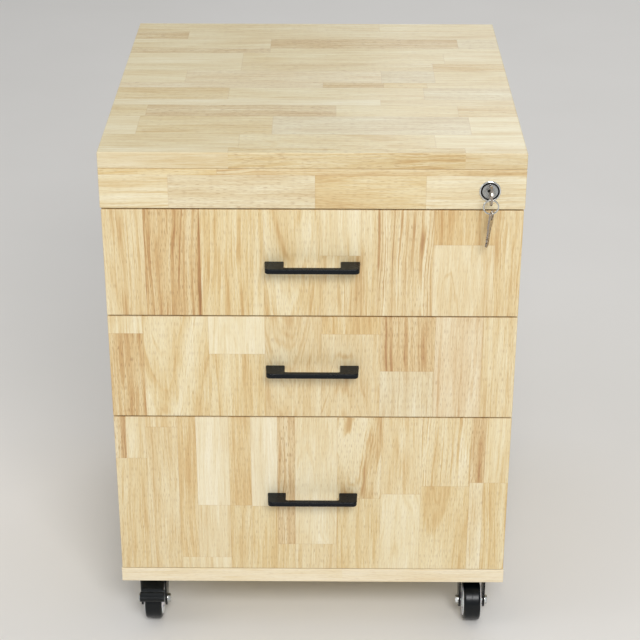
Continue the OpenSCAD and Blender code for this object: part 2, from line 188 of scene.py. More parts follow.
def prism_mesh(outline, low, high, place):
    """A flat outline, pushed from low to high; place turns (u, v, w) into a point."""
    bm = bmesh.new()
    ends = [[bm.verts.new(place(u, v, w)) for u, v in outline] for w in (low, high)]
    bm.faces.new(ends[0])
    bm.faces.new(ends[1])
    count = len(outline)
    for i in range(count):
        j = (i + 1) % count
        bm.faces.new((ends[0][i], ends[0][j], ends[1][j], ends[1][i]))
    return mesh_of(bm, "prism")


def lathe_mesh(profile, centre, axis, steps=72):
    """Turns a closed profile of (radius, height along the axis) about the axis."""
    frame_of = {"x": ((0, 1, 0), (0, 0, 1), (1, 0, 0)), "y": ((0, 0, 1), (1, 0, 0), (0, 1, 0)),
                "z": ((1, 0, 0), (0, 1, 0), (0, 0, 1))}
    across, up, along = (Vector(v) for v in frame_of[axis])
    bm = bmesh.new()
    rings = []
    for i in range(steps):
        turn = 2 * math.pi * i / steps
        out = across * math.cos(turn) + up * math.sin(turn)
        rings.append([bm.verts.new(Vector(centre) + out * r + along * h) for r, h in profile])
    for i in range(steps):
        here, there = rings[i], rings[(i + 1) % steps]
        for j in range(len(profile)):
            k = (j + 1) % len(profile)
            if profile[j][0] > 1e-6 or profile[k][0] > 1e-6:
                bm.faces.new((here[j], here[k], there[k], there[j]))
    bmesh.ops.remove_doubles(bm, verts=bm.verts, dist=1e-7)
    bmesh.ops.dissolve_degenerate(bm, dist=1e-8, edges=bm.edges)
    return mesh_of(bm, "lathe")


def joined(name, meshes):
    """Several closed meshes as one object, without merging them."""
    bm = bmesh.new()
    for mesh in meshes:
        bm.from_mesh(mesh)
        bpy.data.meshes.remove(mesh)
    mesh = bpy.data.meshes.new(name)
    bm.to_mesh(mesh)
    bm.free()
    return new_object(name, mesh)


# ---------------------------------------------------------------- geometry trees

def geometry_tree(name, inputs):
    """A geometry tree with named inputs, its input node and a function that closes it."""
    tree = bpy.data.node_groups.new(name, "GeometryNodeTree")
    tree.interface.new_socket("Geometry", in_out="INPUT", socket_type="NodeSocketGeometry")
    for label, kind in inputs:
        tree.interface.new_socket(label, in_out="INPUT", socket_type="NodeSocket" + kind)
    tree.interface.new_socket("Geometry", in_out="OUTPUT", socket_type="NodeSocketGeometry")
    start = add_node(tree, "NodeGroupInput")
    return tree, start.outputs


def close_tree(tree, geometry, material):
    """Ends a tree: real geometry, with its material."""
    real = add_node(tree, "GeometryNodeRealizeInstances", {"Geometry": geometry})
    painted = add_node(tree, "GeometryNodeSetMaterial", {"Geometry": real, "Material": material})
    add_node(tree, "NodeGroupOutput", {0: painted})


def grow(piece, tree, values):
    """Runs a tree on a piece and keeps the result as plain mesh."""
    change = piece.modifiers.new("grow", "NODES")
    change.node_group = tree
    for item in tree.interface.items_tree:
        if item.in_out == "INPUT" and item.name in values:
            change[item.identifier] = values[item.name]
    settle(piece)


def screw_tree():
    """A screw on each point: a head turned at random about its axis, and a shank of the
    point's own length behind it."""
    tree, given = geometry_tree("wood_screws", (
        ("Head", "Object"), ("Shank Radius", "Float"), ("Seed", "Int"), ("Material", "Material")))
    head = add_node(tree, "GeometryNodeObjectInfo", {"Object": given["Head"]}, transform_space="ORIGINAL")
    axis = add_node(tree, "GeometryNodeInputNamedAttribute", {"Name": "axis"}, data_type="FLOAT_VECTOR")
    length = add_node(tree, "GeometryNodeInputNamedAttribute", {"Name": "shank"}, data_type="FLOAT")
    aim = add_node(tree, "FunctionNodeAlignRotationToVector", {"Vector": axis}, axis="Z")
    turn = add_node(tree, "FunctionNodeRandomValue", {2: 0.0, 3: math.pi, "Seed": given["Seed"]},
                    data_type="FLOAT")
    about = add_node(tree, "ShaderNodeCombineXYZ", {"Z": turn.outputs[1]})
    spin = add_node(tree, "FunctionNodeEulerToRotation", {0: about})
    turned = add_node(tree, "FunctionNodeRotateRotation",
                      {"Rotation": aim, "Rotate By": spin}, rotation_space="LOCAL")
    heads = add_node(tree, "GeometryNodeInstanceOnPoints", {
        "Points": given["Geometry"], "Instance": head.outputs["Geometry"], "Rotation": turned})
    rod = add_node(tree, "GeometryNodeMeshCylinder", {
        "Vertices": 12, "Radius": given["Shank Radius"], "Depth": 1.0})
    sunk = add_node(tree, "GeometryNodeTransform", {
        "Geometry": rod.outputs["Mesh"], "Translation": (0, 0, -0.5)})
    stretch = add_node(tree, "ShaderNodeCombineXYZ", {"X": 1.0, "Y": 1.0, "Z": length})
    shanks = add_node(tree, "GeometryNodeInstanceOnPoints", {
        "Points": given["Geometry"], "Instance": sunk, "Rotation": aim,
        "Scale": stretch})
    both = add_node(tree, "GeometryNodeJoinGeometry", {0: heads})
    tree.links.new(shanks.outputs[0], both.inputs[0])
    close_tree(tree, both, given["Material"])
    return tree


def rib_tree():
    """Radial ribs between a wheel's hub and its rim, on both sides of the web."""
    tree, given = geometry_tree("wheel_ribs", (
        ("Count", "Int"), ("Middle Radius", "Float"), ("Rib Size", "Vector"), ("Centre", "Vector"),
        ("Material", "Material")))
    ring = add_node(tree, "GeometryNodeMeshCircle", {
        "Vertices": given["Count"], "Radius": given["Middle Radius"]})
    place = add_node(tree, "GeometryNodeInputPosition")
    aim = add_node(tree, "FunctionNodeAlignRotationToVector", {"Vector": place}, axis="X")
    rib = add_node(tree, "GeometryNodeMeshCube", {"Size": given["Rib Size"]})
    ribs = add_node(tree, "GeometryNodeInstanceOnPoints", {
        "Points": ring, "Instance": rib.outputs["Mesh"], "Rotation": aim})
    stood = add_node(tree, "GeometryNodeTransform", {
        "Geometry": ribs, "Translation": given["Centre"],
        "Rotation": (0, math.pi / 2, 0)})
    both = add_node(tree, "GeometryNodeJoinGeometry", {0: stood})
    tree.links.new(given["Geometry"], both.inputs[0])
    close_tree(tree, both, given["Material"])
    return tree


def ball_tree():
    """Bearing balls in a row along each edge of a cage."""
    tree, given = geometry_tree("slide_balls", (("Ball Radius", "Float"), ("Material", "Material")))
    ball = add_node(tree, "GeometryNodeMeshUVSphere", {
        "Segments": 12, "Rings": 8, "Radius": given["Ball Radius"]})
    balls = add_node(tree, "GeometryNodeInstanceOnPoints", {
        "Points": given["Geometry"], "Instance": ball.outputs["Mesh"]})
    close_tree(tree, balls, given["Material"])
    return tree


# ---------------------------------------------------------------- wood

# A stave's tone: darkness on the ramp, strength of the rings, pores and dark lines, then its
# hue, saturation and brightness
TONES = {
    "c": (0.18, 0.18, 0.14, 0.3, 0.500, 0.96, 1.01),
    "p": (0.26, 0.22, 0.22, 0.5, 0.500, 0.98, 1.00),
    "h": (0.34, 0.26, 0.34, 0.7, 0.500, 1.00, 1.00),
    "o": (0.40, 0.26, 0.36, 0.6, 0.498, 1.06, 1.00),
    "b": (0.48, 0.40, 0.60, 1.1, 0.498, 1.00, 0.99),
    "s": (0.31, 0.34, 0.40, 1.7, 0.500, 1.00, 1.00),
    "k": (0.32, 0.22, 0.36, 0.6, 0.496, 0.92, 1.00),
    "g": (0.30, 0.24, 0.40, 0.6, 0.503, 0.86, 0.99),
}

# Rows of staves: a row's width in mm, its first stave's tone, then where the next stave starts
# in mm and its tone. Capitals are flat-sawn staves with arched figure.
FRONT_STAVES = (
    ((44, "h"), (60, "b"), (68, "h"), (60, "H"), (44, "p", 53, "h"), (18, "h"), (60, "s"),
     (65, "o", 40, "P"), (29, "h")),
    ((38, "p", 21, "b"), (72, "H"), (62, "C", 46, "h"), (62, "H"), (65, "o", 21, "H"),
     (60, "b", 67, "g"), (52, "k"), (37, "h")),
    ((13, "b", 54, "h"), (22, "p", 54, "h"), (36, "o", 13, "h"), (21, "o", 189, "p"),
     (37, "c", 117, "p", 189, "c"), (25, "o", 117, "h"), (30, "c", 118, "h"), (20, "b", 170, "h"),
     (48, "P", 170, "h"), (50, "S", 107, "h"), (46, "h", 101, "P"), (56, "s", 90, "H"),
     (16, "b", 85, "h"), (28, "p", 85, "h")),
)
TOP_STAVES = (
    (15, "c", 137, "s", 385, "p"), (40, "p", 147, "H", 355, "c"), (56, "c", 35, "h", 181, "g", 395, "c"),
    (36, "h", 40, "b", 250, "p", 385, "o"), (19, "c", 300, "p"), (40, "o", 128, "p", 350, "g"),
    (18, "k", 235, "b", 305, "o", 355, "p"), (42, "c", 75, "k", 303, "g", 365, "p"),
    (28, "p", 138, "h", 365, "o"), (40, "c", 138, "p", 380, "c"), (18, "b", 170, "p"),
    (38, "p", 170, "b", 400, "g"), (30, "b", 66, "p"), (35, "h", 305, "p"),
)
RAIL_STAVES = ((7, "o", 125, "h"), (38, "p", 73, "g", 228, "H", 345, "p"))
BASE_STAVES = ((38, "c", 260, "c"), (52, "c", 140, "p", 330, "c"), (46, "p", 220, "c"),
               (58, "c", 90, "h", 300, "p"), (44, "p", 180, "c"), (55, "c", 310, "h"),
               (50, "h", 120, "p"), (60, "p", 250, "c"), (52, "c", 160, "p"))


def random_rows(rng, width, length):
    """Rows of staves for a board, picked with the board's own seed; width and length in mm."""
    rows = []
    left = width
    while left > 0:
        wide = min(left, rng.uniform(38, 62))
        if left - wide < 20:
            wide = left
        row = [wide, rng.choice("cpphhogkPHC")]
        at = rng.uniform(90, 380)
        while at < length - 60:
            row += [at, rng.choice("cpphhobgkPH")]
            at += rng.uniform(170, 400)
        rows.append(tuple(row))
        left -= wide
    return tuple(rows)


def staves_of(rows, width, length):
    """(across start, across end, along start, along end, tone) of each stave, in metres."""
    scale = width / sum(row[0] for row in rows)
    across = 0.0
    found = []
    for row in rows:
        wide = row[0] * scale
        starts = [0.0] + [at * MM for at in row[2::2]]
        ends = starts[1:] + [length]
        for start, end, tone in zip(starts, ends, row[1::2]):
            if end > start:
                found.append((across, across + wide, start, end, tone))
        across += wide
    return found


def board(name, body, low, high, along, across, rows, material, replaces=(),
          seed=1, bevel=0.8 * MM, cuts=(), calm=1.0, pale=0.0, dye=(0.0, 1.0, 1.0)):
    """A board of glued staves. along and across are signed axes such as "+x" or "-z", and
    say where the rows' millimetres are counted from. The mesh is split along every glue
    joint, and each face carries its stave's own grain directions, figure and tone."""
    rng = random.Random(seed)
    low, high = Vector(low), Vector(high)
    a_axis, b_axis = AXIS[along[1]], AXIS[across[1]]
    c_axis = 3 - a_axis - b_axis
    size = high - low
    staves = staves_of(rows, size[b_axis], size[a_axis])
    a_sign = 1 if along[0] == "+" else -1
    b_sign = 1 if across[0] == "+" else -1
    a_from = low[a_axis] if a_sign > 0 else high[a_axis]
    b_from = low[b_axis] if b_sign > 0 else high[b_axis]

    piece = new_object(name, box_mesh(low, high, bevel))
    cut(piece, cuts)
    bm = bmesh.new()
    bm.from_mesh(piece.data)

    def local(point):
        """Along, across and through the board, from where its rows are counted."""
        return ((point[a_axis] - a_from) * a_sign, (point[b_axis] - b_from) * b_sign,
                point[c_axis] - low[c_axis])

    def split(axis, at, faces):
        normal = Vector([float(k == axis) for k in range(3)])
        edges = {e for f in faces for e in f.edges}
        corners = {v for f in faces for v in f.verts}
        bmesh.ops.bisect_plane(bm, geom=[*faces, *edges, *corners], dist=1e-7, plane_co=normal * at,
                               plane_no=normal)

    for row_start in sorted({stave[0] for stave in staves})[1:]:
        split(b_axis, b_from + b_sign * row_start, bm.faces[:])
    for b0, b1, a0, _, _ in staves:
        if a0 > 0:
            # The outer rows take in the board's own edge faces
            first = b0 - 1 * MM if b0 == 0 else b0
            last = b1 + 1 * MM if b1 > size[b_axis] - 0.01 * MM else b1
            inside = [f for f in bm.faces if first < local(f.calc_center_median())[1] < last]
            split(a_axis, a_from + a_sign * a0, inside)

    kinds = []
    for b0, b1, a0, a1, tone in staves:
        dark, rings, pores, lines, hue, strength, bright = TONES[tone.lower()]
        if tone.isupper():
            heart = (rng.choice((-1, 1)) * rng.uniform(0.05, 0.11), rng.uniform(-8, 8) * MM,
                     rng.uniform(-42, -24) * MM)
        else:
            heart = (rng.uniform(-0.012, 0.012), rng.choice((-1, 1)) * rng.uniform(60, 150) * MM,
                     rng.uniform(-70, 10) * MM)
        # dye: the stave's hue, saturation and brightness with the board's shift, which on the top board is
        # painted sheen
        kinds.append({
            "middle": ((a0 + a1) / 2, (b0 + b1) / 2), "skew": math.radians(rng.uniform(-1.6, 1.6)),
            "shift": rng.uniform(1, 9), "heart": heart,
            "stave": (0.3 + (dark + rng.uniform(-0.04, 0.04) - 0.3) * calm - pale, rings * calm, pores),
            "dye": (hue + dye[0], strength * dye[1] * rng.uniform(0.95, 1.04), bright * dye[2]),
            "size": ((a1 - a0) / 2, (b1 - b0) / 2, lines * calm)})

    layers = {label: bm.loops.layers.float_vector.new(label)
              for label in ("grain", "place", "heart", "stave", "dye", "size")}
    for face in bm.faces:
        a, b, _ = local(face.calc_center_median())
        kind = kinds[min(range(len(staves)), key=lambda i: (
            max(staves[i][0] - b, 0, b - staves[i][1]) + max(staves[i][2] - a, 0, a - staves[i][3])))]
        on_edge = 0.0 if abs(face.normal[c_axis]) > 0.9 else 1.0
        turn_cos, turn_sin = math.cos(kind["skew"]), math.sin(kind["skew"])
        for loop in face.loops:
            a, b, c = local(loop.vert.co)
            a, b = a - kind["middle"][0], b - kind["middle"][1]
            loop[layers["place"]] = (a, b, on_edge)
            loop[layers["grain"]] = (a * turn_cos - b * turn_sin + kind["shift"],
                                     a * turn_sin + b * turn_cos, c)
            for label in ("heart", "stave", "dye", "size"):
                loop[layers[label]] = kind[label]
    mesh = bpy.data.meshes.new(name)
    bm.to_mesh(mesh)
    bm.free()
    piece.data = mesh
    return fit(piece, body, material, replaces, smooth=0)


def rubberwood(name, plies=False):
    """Rubberwood staves, finger-laminated, sanded and finished in clear satin lacquer: pale
    honey with soft rings, long streaks and short dark pores, under a thin even gloss.
    With plies, the edges show the crossed veneers of plywood."""
    material, tree = new_material(name)
    read = {label: add_node(tree, "ShaderNodeAttribute", attribute_name=label).outputs["Vector"]
            for label in ("grain", "place", "heart", "stave", "dye", "size")}
    parts = {label: add_node(tree, "ShaderNodeSeparateXYZ", {0: vector}).outputs
             for label, vector in read.items()}

    # Noises drawn out along the grain: slow wandering, fibre streaks 2.4 mm wide and 80 mm long,
    # fine ones of 0.7 mm, clouds 24 mm wide, patches of 17 mm, and pores 0.5 mm wide and 7 mm long
    noise = {}
    for label, scale, detail, rough in (
            ("slow", (7, 26, 26), 3.0, 0.5), ("streak", (12, 420, 420), 3.0, 0.6),
            ("fine", (30, 1400, 1400), 1.0, 0.6), ("cloud", (8, 42, 42), 2.0, 0.6),
            ("patch", (14, 60, 60), 1.0, 0.6), ("pore", (140, 1900, 1900), 0.0, 0.5)):
        at = add_node(tree, "ShaderNodeVectorMath", {0: read["grain"], 1: scale}, operation="MULTIPLY")
        noise[label] = add_node(tree, "ShaderNodeTexNoise", {
            "Vector": at, "Scale": 1.0, "Detail": detail, "Roughness": rough})

    # Growth rings lie about the heart of the tree, and wander by a few millimetres
    shift = add_node(tree, "ShaderNodeVectorMath", {
        0: noise["slow"].outputs["Color"], 1: (0, 0.016, 0.016), 2: read["grain"]}, operation="MULTIPLY_ADD")
    from_heart = add_node(tree, "ShaderNodeVectorMath", {0: shift, 1: read["heart"]},
                          operation="SUBTRACT")
    flat = add_node(tree, "ShaderNodeVectorMath", {0: from_heart, 1: (0, 1, 1)}, operation="MULTIPLY")
    radius = add_node(tree, "ShaderNodeVectorMath", {0: flat}, operation="LENGTH")
    leaned = add_node(tree, "ShaderNodeMath", {
        0: parts["grain"]["X"], 1: parts["heart"]["X"], 2: radius.outputs["Value"]}, operation="MULTIPLY_ADD")

    # Soft bands of 14 mm with finer ones down to 1 mm within them
    rings = add_node(tree, "ShaderNodeTexNoise", {
        "W": leaned, "Scale": 72.0, "Detail": 4.0, "Roughness": 0.62}, noise_dimensions="1D")
    ring = add_node(tree, "ShaderNodeMapRange", {
        "Value": rings, "From Min": 0.28, "From Max": 0.72, "To Min": -0.5, "To Max": 0.5})

    # Thin dark lines 0.6 mm wide that follow the rings and fade in and out along the grain
    line_noise = add_node(tree, "ShaderNodeTexNoise", {
        "W": leaned, "Scale": 150.0, "Detail": 1.0}, noise_dimensions="1D")
    from_middle = add_node(tree, "ShaderNodeMath", {0: line_noise, 1: 0.5}, operation="SUBTRACT")
    distance = add_node(tree, "ShaderNodeMath", {0: from_middle}, operation="ABSOLUTE")
    line = add_node(tree, "ShaderNodeMapRange", {
        "Value": distance, "From Min": 0.01, "From Max": 0.06, "To Min": 1.0, "To Max": 0.0})
    shown = add_node(tree, "ShaderNodeMapRange", {
        "Value": noise["patch"], "From Min": 0.38, "From Max": 0.62, "To Min": 0.0, "To Max": 0.36})
    faded = add_node(tree, "ShaderNodeMath", {0: line, 1: shown}, operation="MULTIPLY")
    lines = add_node(tree, "ShaderNodeMath", {0: faded, 1: parts["size"]["Z"]}, operation="MULTIPLY")

    # Open pores
    pore = add_node(tree, "ShaderNodeMapRange", {"Value": noise["pore"], "From Min": 0.58, "From Max": 0.70})
    pores = add_node(tree, "ShaderNodeMath", {0: pore, 1: parts["stave"]["Z"]}, operation="MULTIPLY")

    # Tone of the stave, moved by rings, lines, streaks, fine fibres and clouds
    total = add_node(tree, "ShaderNodeMath", {
        0: ring, 1: parts["stave"]["Y"], 2: parts["stave"]["X"]}, operation="MULTIPLY_ADD")
    total = add_node(tree, "ShaderNodeMath", {0: lines, 1: 0.8, 2: total}, operation="MULTIPLY_ADD")
    for label, strength in (("streak", 0.42), ("fine", 0.46), ("cloud", 0.42)):
        centred = add_node(tree, "ShaderNodeMath", {0: noise[label], 1: -0.5}, operation="ADD")
        total = add_node(tree, "ShaderNodeMath", {
            0: centred, 1: strength, 2: total}, operation="MULTIPLY_ADD")
    wood = add_node(tree, "ShaderNodeValToRGB", {0: total}, stops=(
        (0.0, "#F2E8CB"), (0.2, "#EADBB4"), (0.4, "#DFC796"), (0.6, "#D0AE79"), (0.8, "#BB915F"),
        (1.0, "#986D42")))
    # The stave's tone with the board's shift; on the top board the shift is painted sheen
    toned_with_sheen = add_node(tree, "ShaderNodeHueSaturation", {
        "Hue": parts["dye"]["X"], "Saturation": parts["dye"]["Y"], "Value": parts["dye"]["Z"],
        "Color": wood})

    # Glue joints: a line 0.35 mm wide round every stave
    far = add_node(tree, "ShaderNodeVectorMath", {0: read["place"]}, operation="ABSOLUTE")
    inset = add_node(tree, "ShaderNodeVectorMath", {0: read["size"], 1: far}, operation="SUBTRACT")
    insets = add_node(tree, "ShaderNodeSeparateXYZ", {0: inset}).outputs
    nearest = add_node(tree, "ShaderNodeMath", {0: insets[0], 1: insets[1]}, operation="MINIMUM")
    joint = add_node(tree, "ShaderNodeMapRange", {
        "Value": nearest, "From Min": 0.0002, "From Max": 0.0006, "To Min": 0.16, "To Max": 0.0})
    marks = [(pores, "#A47C50"), (joint, "#A97B4C")]
    if plies:
        # Crossed veneers of 1.2 mm on the edges
        plies_at = add_node(tree, "ShaderNodeMath", {0: parts["grain"]["Z"], 1: 833.0}, operation="MULTIPLY")
        share = add_node(tree, "ShaderNodeMath", {0: plies_at, 1: 2.0}, operation="FLOORED_MODULO")
        crossed = add_node(tree, "ShaderNodeMath", {0: share, 1: 1.0}, operation="GREATER_THAN")
        marks.append((add_node(tree, "ShaderNodeMath", {0: crossed, 1: parts["place"]["Z"]},
                               operation="MULTIPLY"), "#A9814F"))
    colour = toned_with_sheen.outputs[0]
    for mark, code in marks:
        colour = add_node(tree, "ShaderNodeMix", {0: mark, 6: colour, 7: srgb(code)},
                          data_type="RGBA").outputs[2]

    height = add_node(tree, "ShaderNodeMath", {0: pores, 1: -0.8, 2: noise["fine"]},
                      operation="MULTIPLY_ADD")
    bump = add_node(tree, "ShaderNodeBump", {"Height": height, "Strength": 0.22, "Distance": 0.00025})
    rough = add_node(tree, "ShaderNodeMapRange", {
        "Value": noise["streak"], "From Min": 0.3, "From Max": 0.7, "To Min": 0.36, "To Max": 0.48})
    shader = add_node(tree, "ShaderNodeBsdfPrincipled", {
        "Base Color": colour, "Roughness": rough, "Normal": bump, "IOR": 1.5,
        "Specular IOR Level": 0.4, "Coat Weight": 0.22, "Coat Roughness": 0.2})
    close_material(tree, shader)
    return material


# ---------------------------------------------------------------- other finishes

def finish(name, colour, second, grain_mm, roughness, spread=0.08, metallic=0.0, bump=0.1,
           height=0.05 * MM, stretch=(1, 1, 1), direct=None):
    """A surface whose colour and relief vary with a noise of a real grain size, and its gloss with
    one of 11 mm. direct holds numbers that are the same all over, by the shader's socket names."""
    material, tree = new_material(name)
    place = add_node(tree, "ShaderNodeTexCoord").outputs["Object"]
    scaled = add_node(tree, "ShaderNodeVectorMath", {
        0: place, 1: [s / (grain_mm * MM) for s in stretch]}, operation="MULTIPLY")
    noise = add_node(tree, "ShaderNodeTexNoise", {
        "Vector": scaled, "Scale": 1.0, "Detail": 3.0, "Roughness": 0.55})
    even = add_node(tree, "ShaderNodeMapRange", {"Value": noise, "From Min": 0.35, "From Max": 0.65})
    worn_at = add_node(tree, "ShaderNodeTexNoise", {"Vector": place, "Scale": 90.0, "Detail": 2.0})
    worn = add_node(tree, "ShaderNodeMapRange", {
        "Value": worn_at, "From Min": 0.35, "From Max": 0.65,
        "To Min": roughness - spread, "To Max": roughness + spread})
    paint = add_node(tree, "ShaderNodeMix", {0: even, 6: srgb(colour), 7: srgb(second)}, data_type="RGBA")
    relief = add_node(tree, "ShaderNodeBump", {"Height": noise, "Strength": bump, "Distance": height})
    shader = add_node(tree, "ShaderNodeBsdfPrincipled", {
        "Base Color": paint.outputs[2], "Roughness": worn, "Metallic": metallic,
        "Normal": relief, **(direct or {})})
    close_material(tree, shader)
    return material


def finishes():
    """Every finish except the wood, by the name of its material and how it was made."""
    return {
        # Zinc casting under satin black powder: an even, slightly pebbled dark skin with soft glints; the
        # blue in its black is painted cool reflection
        "pull": finish("satin_black_powder_coat", "#060B10", "#0A1117", 0.5, 0.3, 0.04, bump=0.15,
                       height=0.03 * MM, direct={"Specular IOR Level": 0.18, "Coat Weight": 0.05,
                                                 "Coat Roughness": 0.12}),
        # Zinc die casting, blackened: dull and slightly grainy
        "housing": finish("blackened_zinc_casting", "#0B0B0C", "#151516", 0.6, 0.5, metallic=0.6),
        # Brass with bright chrome plating: a clear mirror with a faint haze
        "trim": finish("bright_chrome_plate", "#E9EBEC", "#DADDDF", 1.5, 0.10, 0.03, metallic=1.0, bump=0.02),
        # Brass with satin nickel plating, turned: fine rings of polishing and a soft grey mirror
        "plug": finish("satin_nickel_turned", "#B9BBBB", "#9EA1A2", 0.4, 0.27, 0.06, metallic=1.0, bump=0.15,
                       height=0.02 * MM),
        # Nickel-plated brass, stamped: bright, with fine scratches along the blade
        "key": finish("nickel_plate_stamped", "#B9AFA4", "#9C9085", 0.5, 0.3, 0.06, metallic=1.0, bump=0.12,
                      stretch=(1, 1, 0.2)),
        # Drawn steel wire with nickel: bright
        "ring": finish("nickel_plated_wire", "#D6D6D2", "#BFBFBA", 0.4, 0.2, 0.05, metallic=1.0),
        # Cold-rolled steel with zinc plating: pale blue-grey, streaked along the rolling direction
        "slide": finish("zinc_plated_rolled_steel", "#C6CBCE", "#B9BFC3", 1.0, 0.3, 0.05, metallic=1.0,
                        bump=0.08, stretch=(1, 0.05, 1)),
        # Steel wire headed and zinc-plated: pale and bright, a little cloudy
        "screw": finish("zinc_plated_headed_steel", "#CDD0CF", "#B3B6B4", 0.8, 0.3, 0.07, metallic=1.0),
        # Hardened steel balls, ground and polished
        "ball": finish("polished_bearing_steel", "#D9DBDC", "#CACDCF", 1.0, 0.12, 0.03, metallic=1.0,
                       bump=0.02),
        # Pressed steel with black electrocoat: smooth and fairly glossy, with soft edges
        "caster": finish("black_electrocoated_steel", "#090B0D", "#111417", 0.7, 0.3, 0.06, bump=0.12,
                         direct={"Specular IOR Level": 0.25, "Coat Weight": 0.06, "Coat Roughness": 0.15}),
        # Turned steel with bright zinc
        "axle": finish("bright_zinc_hex_steel", "#E0E1DF", "#C6C8C5", 0.7, 0.24, 0.06, metallic=1.0),
        # Nylon, injection moulded: milky white with a slight glow and a soft sheen
        "core": finish("moulded_white_nylon", "#EFEFEF", "#E4E5E7", 2.5, 0.36, 0.05, bump=0.05,
                       direct={"Subsurface Weight": 0.08, "Subsurface Scale": 0.002}),
        # Polyurethane tread, cast on the wheel: deep glossy black that picks up dust
        "tread": finish("cast_polyurethane_tread", "#04080B", "#080D11", 1.6, 0.3, 0.02, bump=0.02,
                        direct={"Specular IOR Level": 0.24, "Coat Weight": 0.12, "Coat Roughness": 0.2}),
        # Glass-filled nylon, injection moulded: near black with a finely etched surface
        "lever": finish("moulded_black_nylon", "#05090B", "#0A0F12", 0.35, 0.2, 0.03, bump=0.08,
                        height=0.03 * MM, direct={"Specular IOR Level": 0.3}),
        # Beech, turned and fluted: warm tan flecked along the rod
        "dowel": finish("turned_beech", "#D9B384", "#C79A66", 1.2, 0.6, bump=0.3, stretch=(1, 1, 0.1)),
    }


WOOD = rubberwood("lacquered_rubberwood_staves")
PLYWOOD = rubberwood("rotary_cut_plywood", plies=True)
F = finishes()


# ---------------------------------------------------------------- carcass

BACK_LOW, BACK_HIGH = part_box("back_panel")
LOCK_BORE = 9.5 * MM


def back_rabbet():
    """The space of the back panel, open to the rear, as a cutter."""
    return box_mesh(BACK_LOW, (BACK_HIGH.x, BACK_HIGH.y + 10 * MM, BACK_HIGH.z))


def rod_cutter(centre, axis, radius, start, end, steps=64):
    return lathe_mesh([(0, start), (radius, start), (radius, end), (0, end)], centre, axis, steps)


def carcass():
    low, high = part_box("top_panel")
    # The top board's shift to a greener, less saturated tone is painted sheen from the light above
    board("top_board", "carcass", low, high, "+x", "+y", TOP_STAVES, WOOD, ("top_panel",),
          seed=11, bevel=1.0 * MM, cuts=[back_rabbet()], calm=0.5, pale=-0.01, dye=(0.007, 0.94, 0.98))
    low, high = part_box("bottom_panel")
    board("base_board", "carcass", low, high, "+x", "+y", BASE_STAVES, WOOD,
          ("bottom_panel",), seed=12, bevel=1.0 * MM, cuts=[back_rabbet()], calm=0.6, pale=0.15,
          dye=(0.0, 0.98, 1.09))
    for side, seed in (("left", 13), ("right", 14)):
        low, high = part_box(side + "_side_panel")
        rows = random_rows(random.Random(seed), (high.y - low.y) / MM, (high.z - low.z) / MM)
        cutters = [back_rabbet()]
        if side == "right":
            bar_low, bar_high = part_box("lock_bar")
            bar_low.x = low.x - 1 * MM
            # A groove for the lock bar
            cutters.append(box_mesh((bar_low.x, bar_high.y - 15 * MM, bar_low.z - 14 * MM),
                                    (low.x + 6 * MM, bar_high.y + 1 * MM, high.z + 1 * MM)))
        board(side + "_side_board", "carcass", low, high, "-z", "+y", rows, WOOD,
              (side + "_side_panel",), seed=seed, cuts=cutters)
    low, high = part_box("front_rail")
    middle = sum(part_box("lock_trim_ring"), Vector()) / 2
    bore = rod_cutter((middle.x, 0, middle.z), "y", LOCK_BORE, low.y - 1 * MM, high.y + 1 * MM)
    board("rail_board", "carcass", low, high, "+x", "-z", RAIL_STAVES, WOOD,
          ("front_rail",), seed=15, cuts=[bore], dye=(0.002, 0.98, 0.98))
    board("back_board", "carcass", BACK_LOW, BACK_HIGH, "-z", "+x", ((430, "P"),), PLYWOOD,
          ("back_panel",), seed=16, bevel=0.4 * MM, calm=1.2)


def drawer(i):
    """A drawer's front and its box, of boards 12 mm thick with a plywood bottom."""
    body = f"drawer_{i}"
    low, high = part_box(f"drawer_front_{i}")
    board(f"front_board_{i}", body, low, high, "-z", "+x", FRONT_STAVES[i - 1], WOOD,
          (f"drawer_front_{i}",), seed=20 + i, bevel=0.7 * MM, calm=(1.0, 0.95, 0.8)[i - 1],
          pale=(0.0, 0.04, 0.03)[i - 1])
    floor_low, floor_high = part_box(f"drawer_bottom_{i}")
    side_low, side_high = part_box(f"drawer_sides_{i}")
    end_low, end_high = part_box(f"drawer_ends_{i}")
    thick = side_high.x - end_high.x
    parts = (
        ("left_side", (side_low.x, side_low.y, side_low.z), (end_low.x, side_high.y, side_high.z), "+y"),
        ("right_side", (end_high.x, side_low.y, side_low.z), side_high, "+y"),
        ("inner_front", end_low, (end_high.x, end_low.y + thick, end_high.z), "+x"),
        ("inner_back", (end_low.x, end_high.y - thick, end_low.z), end_high, "+x"),
    )
    for n, (part, part_low, part_high, along) in enumerate(parts):
        seed = 100 * i + n
        size = Vector(part_high) - Vector(part_low)
        rows = random_rows(random.Random(seed), size.z / MM, size[AXIS[along[1]]] / MM)
        node = f"drawer_sides_{i}" if "side" in part else f"drawer_ends_{i}"
        board(f"drawer_{i}_{part}", body, part_low, part_high, along, "-z", rows, WOOD,
              (node,), seed=seed, bevel=0.8 * MM, cuts=[box_mesh(floor_low, floor_high)], calm=0.8, pale=0.05)
    board(f"drawer_{i}_floor", body, floor_low, floor_high, "+y", "+x", ((400, "P"),), PLYWOOD,
          (f"drawer_bottom_{i}",), seed=40 + i, bevel=0)


# ---------------------------------------------------------------- hardware

HEAD_HIGH = 1.8 * MM


